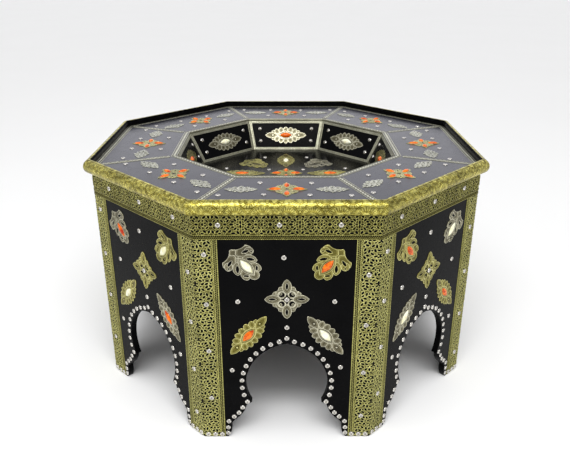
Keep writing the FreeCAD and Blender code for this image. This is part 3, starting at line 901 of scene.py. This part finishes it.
FAN_LOBES = [(27, 0, 0, 54, 28), (7, 0, 0, 20, 17),
             *both([(12.5, 15.0, 80, 30, 21), (18.5, 22.0, 50, 17, 15), (30.5, 13.5, 38, 26, 16.5),
                    (47.0, 9.5, 32, 24, 18.5)]),
             (57, 0, 0, 18, 18), (37, 0, 0, 42, 20)]
FAN_HOLES = both([(15.5, 17.0, 74, 12, 4.2), (31.5, 14.2, 38, 13.5, 4.8), (50.0, 11.4, 139, 9.0, 3.2),
                  (21.5, 24.5, 50, 4.0, 1.8)])
FAN_BITES = [(-15.5, 20.0, 22.0), (-15.5, -20.0, 22.0)]
FAN = Medallion(FAN_LOBES, FAN_HOLES, [(37.0, 0, 0, *SIDE_STONE)], bites=FAN_BITES)
PLAIN_FAN = Medallion(FAN_LOBES, FAN_HOLES, bites=FAN_BITES)

FLOWER = Medallion(
    quarter_turns([(10.5, 10.5, 45, 17, 15), (15.5, 8.5, 30, 10, 8), (8.5, 15.5, 60, 10, 8), (20, 0, 0, 30, 15),
                   (5.5, 5.5, 45, 11, 9)]),
    quarter_turns([(11.8, 11.8, 45, 6.5, 3.0)]),
    [(20 * math.cos(math.radians(q)), 20 * math.sin(math.radians(q)), q, *TOP_STONE)
     for q in (0, 90, 180, 270)],
    [(0, 0, 2.4)])

SCROLL = Medallion(
    four([(0, 0, 0, 50, 14), (0, 8.2, 90, 14, 12), (9.5, 5.6, 45, 13, 10.5), (17.0, 3.0, 25, 12, 7.5),
          (21.0, 0, 0, 15, 7), (0, 0, 0, 14, 9)]),
    four([(0, 8.6, 90, 6, 3.0), (9.8, 5.4, 45, 6.5, 3.2), (16.6, 0, 0, 8, 2.8), (4.6, 0, 0, 5, 2.6)]))


class Inlay:
    """Plates and stones, gathered until they are made into pieces."""

    def __init__(self):
        self.solids = {}
        self.stones = {"amber": [], "pale": []}
        self.made = {}

    def shape(self, design):
        if id(design) not in self.made:
            self.made[id(design)] = (design.solid(), design.stone_solids())
        return self.made[id(design)]

    def lay(self, group, finish, design, stone, place, x, y, degrees, flatness=1.0):
        plate, stones = self.shape(design)
        plate = Solid(plate.points * (1.0, 1.0, flatness), plate.faces, plate.relief)
        self.solids.setdefault((group, finish), []).append(plate.laid(place, x, y, degrees))
        for solid in stones:
            self.stones[stone].append(solid.laid(place, x, y, degrees))


OVAL_AT = (66.0, 218.0)
OVAL_TURN = -50.3
FAN_ROOT = (90.5, 378.0)
FAN_TURN = -49.3
DIAMOND_AT = (0.0, 289.0)
TOP_R = 287.0
SCROLL_AT = 77.0
BRASS_LEFT_FACES = (1, 3, 5)
FLOOR_REACH = 94.0
FLOOR_DIAGONAL = 98.0
FAN_HALF = 31.0
WALL_FLATNESS = 0.2


def make_medallions():
    """The same layout as the CAD ornaments, with their scallops, piercings and stones."""
    inlay = Inlay()
    for k in range(SIDES):
        place, group = side_axes(k), "side_%d" % (k + 1)
        brass_left = k in BRASS_LEFT_FACES
        fan_finish = ("brass", "nickel") if brass_left else ("nickel", "brass")
        oval_finish = ("nickel", "brass") if brass_left else ("brass", "nickel")
        fan_stone = ("pale", "amber") if k % 2 == 0 else ("amber", "pale")
        oval_stone = ("amber", "pale") if k % 2 == 0 else ("pale", "amber")
        for index, side in enumerate((-1, 1)):
            turn_fan = FAN_TURN if side < 0 else 180 - FAN_TURN
            inlay.lay(group, fan_finish[index], FAN, fan_stone[index], place,
                      side * FAN_ROOT[0], FAN_ROOT[1], turn_fan)
            inlay.lay(group, oval_finish[index], OVAL, oval_stone[index], place,
                      side * OVAL_AT[0], OVAL_AT[1], side * OVAL_TURN)
        inlay.lay(group, "brass" if k % 2 else "nickel", DIAMOND, "pale", place, *DIAMOND_AT, 90)
        place, group = top_axes(k), "top_%d" % (k + 1)
        inlay.lay(group, "brass", FLOWER, "amber", place, 0, -TOP_R, 0)
        for side in (-1, 1):
            inlay.lay(group, "nickel", SCROLL, "pale", place, side * SCROLL_AT, -TOP_R, 0)
        inlay.lay("well_walls", "brass" if k % 4 == 2 else "nickel", OVAL, "pale" if k % 2 else "amber",
                  wall_axes(k), 0, WALL_SLOPE / 2, 0, WALL_FLATNESS)
    place, group = floor_axes(), "well_floor"
    inlay.lay(group, "brass", FLOWER, "amber", place, 0, 0, 0)
    for quarter in range(4):
        a = math.radians(90 * quarter)
        inlay.lay(group, "brass", OVAL, "pale" if quarter % 2 else "amber", place,
                  FLOOR_REACH * math.cos(a), FLOOR_REACH * math.sin(a), 90 * quarter)
        a += math.pi / 4
        root = FLOOR_DIAGONAL + FAN_HALF
        inlay.lay(group, "brass" if quarter % 2 else "nickel", PLAIN_FAN, "pale", place,
                  root * math.cos(a), root * math.sin(a), 90 * quarter + 225)
    for (group, finish), solids in inlay.solids.items():
        on_top = group.startswith("top")
        # Plates on the top take the lighter copies of the metals: painted light.
        nickel, brass = (LIT_TOP_NICKEL, LIT_TOP_GILT) if on_top else (NICKEL, GILT)
        chosen, slot = (nickel, "nickel") if finish == "nickel" else (brass, "brass_sheet")
        piece("medallions_%s_%s" % (group, finish), joined(solids), chosen, [finish + "_ornaments"])
    piece("orange_cabochons", joined(inlay.stones["amber"]), AMBER, ["amber_stones"])
    piece("pale_cabochons", joined(inlay.stones["pale"]), BONE, ["pale_stones"])


# Nails

NAIL_R = 4.5
NAIL_HIGH = 2.2
NAIL_TILT = 0.035


def nail_head(rings=7, around=20):
    """A low dome whose relief value is lower round its crown, so that the crown is darker: a painted dark
    reflection.
    """
    points, faces = [], []
    for i in range(rings):
        t = math.pi / 2 * i / rings
        points += [(NAIL_R * math.cos(t) * math.cos(2 * math.pi * j / around),
                    NAIL_R * math.cos(t) * math.sin(2 * math.pi * j / around), NAIL_HIGH * math.sin(t))
                   for j in range(around)]
    points.append((0, 0, NAIL_HIGH))
    for i in range(rings - 1):
        for j in range(around):
            n = (j + 1) % around
            faces.append((i * around + j, i * around + n, (i + 1) * around + n, (i + 1) * around + j))
    last = (rings - 1) * around
    for j in range(around):
        faces.append((last + j, last + (j + 1) % around, len(points) - 1, -1))
    reach = np.hypot(*np.array(points)[:, :2].T) / NAIL_R
    # Relief falls towards the crown to paint the dome's dark reflection in its middle.
    return Solid(points, faces, 0.40 + 0.60 * np.clip((reach - 0.25) / 0.45, 0, 1))


def islands(obj):
    """The separate pieces of a node's mesh, each as an array of points in millimetres."""
    count = len(obj.data.vertices)
    co = np.empty(count * 3, np.float32)
    obj.data.vertices.foreach_get("co", co)
    co = co.reshape(-1, 3).astype(float) / MM
    edges = np.empty(len(obj.data.edges) * 2, np.int32)
    obj.data.edges.foreach_get("vertices", edges)
    welded, owner = np.unique(np.round(co, 2), axis=0, return_inverse=True)
    edges = owner.ravel()[edges].reshape(-1, 2)
    co, count = welded, len(welded)
    label = np.arange(count)
    while True:
        low = np.minimum(label[edges[:, 0]], label[edges[:, 1]])
        fresh = label.copy()
        np.minimum.at(fresh, edges[:, 0], low)
        np.minimum.at(fresh, edges[:, 1], low)
        if np.array_equal(fresh, label):
            break
        label = fresh
    order = np.argsort(label, kind="stable")
    cuts = np.flatnonzero(np.diff(label[order])) + 1
    return [co[group] for group in np.split(order, cuts)]


def make_nails():
    """A domed head on every CAD stud: its wide end lies on the board and its narrow end points out."""
    head = nail_head()
    heads = []
    for points in islands(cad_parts["studs"]):
        centre = (points.min(axis=0) + points.max(axis=0)) / 2
        middle = points.mean(axis=0)
        reach = np.linalg.norm(points - middle, axis=1)
        wide = reach > (reach.min() + reach.max()) / 2
        foot, tip = points[wide].mean(axis=0), points[~wide].mean(axis=0)
        out = (tip - foot) / np.linalg.norm(tip - foot)
        across = np.cross(out, (0.3, 0.5, 0.81))
        across /= np.linalg.norm(across)
        tilt = RNG.normal(0, NAIL_TILT, 2)
        lean = out + across * tilt[0] + np.cross(out, across) * tilt[1]
        lean /= np.linalg.norm(lean)
        across = np.cross(np.cross(lean, across), lean)
        across /= np.linalg.norm(across)
        heads.append(head.laid(axes(foot, across, np.cross(lean, across), lean), degrees=RNG.uniform(0, 90)))
    piece("nail_heads", joined(heads), NAIL, ["studs"])


# Stage

CAMERA_AT = (-0.0054, -1.2916, 0.8121)
CAMERA_PITCH = 23.32
CAMERA_YAW = 0.137
LENS = 40.0
SENSOR = 36.0
STAGE_REACH = 14.0
REFLECTED_FROM = (0.0, -0.97, 0.24)
REFLECTED_SKY = [(0.05, (1.22, 1.22, 1.30)), (0.5, (0.56, 0.56, 0.58)), (0.97, (0.50, 0.50, 0.50))]
LIT_FROM = (0.0, -0.42, 0.91)
LIT_SKY = [(0.0, (0.05,) * 3), (0.55, (0.10,) * 3), (0.80, (0.36,) * 3), (1.0, (2.18,) * 3)]
BACKDROP = (0.925, 0.925, 0.93, 1)
SOFTBOXES = (("front_box", (0.0, -1.66, 2.35), (2.0, 0.6), 30),
             ("overhead_box", (0.2, 0.6, 2.6), (2.0, 2.0), 1.5),
             ("left_box", (-2.2, -0.6, 1.5), (1.0, 1.2), 3))
LIGHTS_AIM = (0, 0, 0.3)


def softbox(name, at, size, power):
    light = bpy.data.lights.new(name, "AREA")
    light.shape = "RECTANGLE"
    light.size, light.size_y = size
    light.energy = power
    obj = bpy.data.objects.new(name, light)
    obj.location = at
    obj.rotation_euler = (Vector(LIGHTS_AIM) - Vector(at)).to_track_quat("-Z", "Y").to_euler()
    bpy.context.scene.collection.objects.link(obj)


def make_floor(scene):
    mesh = bpy.data.meshes.new("floor")
    corners = [(x * STAGE_REACH, y * STAGE_REACH, 0) for x, y in ((-1, -1), (1, -1), (1, 1), (-1, 1))]
    mesh.from_pydata(corners, [], [(0, 1, 2, 3)])
    floor = bpy.data.objects.new("floor", mesh)
    scene.collection.objects.link(floor)
    m, tree, shader = material("pale_floor", (0.955, 0.955, 0.955), 0.0, 0.6, 0.2)
    tint = ramp(tree, noise(tree, 1.5), [(0.3, (0.95, 0.95, 0.95)), (0.7, (0.965, 0.965, 0.965))])
    tree.links.new(tint, shader.inputs["Base Color"])
    mesh.materials.append(m)


def sky(tree, direction, stops):
    """Colour from fully away from a direction to fully towards it."""
    where = tree.nodes.new("ShaderNodeTexCoord")
    facing = tree.nodes.new("ShaderNodeVectorMath")
    facing.operation = "DOT_PRODUCT"
    facing.inputs[1].default_value = direction
    tree.links.new(where.outputs["Generated"], facing.inputs[0])
    share = add(tree, "ShaderNodeMapRange")
    share.inputs["From Min"].default_value = -1.0
    tree.links.new(facing.outputs["Value"], share.inputs["Value"])
    return ramp(tree, share.outputs["Result"], stops)


def make_world(scene):
    """A plain backdrop, soft light from high in front, and a sky for the metal to reflect."""
    world = bpy.data.worlds.new("studio")
    scene.world = world
    world.use_nodes = True
    tree = world.node_tree
    reflected = tree.nodes["Background"]
    tree.links.new(sky(tree, REFLECTED_FROM, REFLECTED_SKY), reflected.inputs["Color"])
    seen = add(tree, "ShaderNodeBackground")
    seen.inputs["Color"].default_value = BACKDROP
    soft = add(tree, "ShaderNodeBackground")
    tree.links.new(sky(tree, LIT_FROM, LIT_SKY), soft.inputs["Color"])
    path = tree.nodes.new("ShaderNodeLightPath")
    glossy = tree.nodes.new("ShaderNodeMixShader")
    tree.links.new(path.outputs["Is Glossy Ray"], glossy.inputs["Fac"])
    tree.links.new(soft.outputs["Background"], glossy.inputs[1])
    tree.links.new(reflected.outputs["Background"], glossy.inputs[2])
    mix = tree.nodes.new("ShaderNodeMixShader")
    tree.links.new(path.outputs["Is Camera Ray"], mix.inputs["Fac"])
    tree.links.new(glossy.outputs["Shader"], mix.inputs[1])
    tree.links.new(seen.outputs["Background"], mix.inputs[2])
    tree.links.new(mix.outputs["Shader"], tree.nodes["World Output"].inputs["Surface"])


def make_camera(scene):
    camera = bpy.data.objects.new("camera", bpy.data.cameras.new("camera"))
    camera.data.lens = LENS
    camera.data.sensor_width = SENSOR
    camera.location = CAMERA_AT
    camera.rotation_euler = (math.radians(90 - CAMERA_PITCH), 0, math.radians(-CAMERA_YAW))
    scene.collection.objects.link(camera)
    scene.camera = camera


def make_stage():
    scene = bpy.context.scene
    scene.view_settings.view_transform = "Standard"
    make_floor(scene)
    make_world(scene)
    for box in SOFTBOXES:
        softbox(*box)
    make_camera(scene)


paint_nodes()
make_frieze()
make_trims()
make_rim()
make_lip()
make_top_strips()
make_well_strips()
make_medallions()
make_nails()
make_stage()
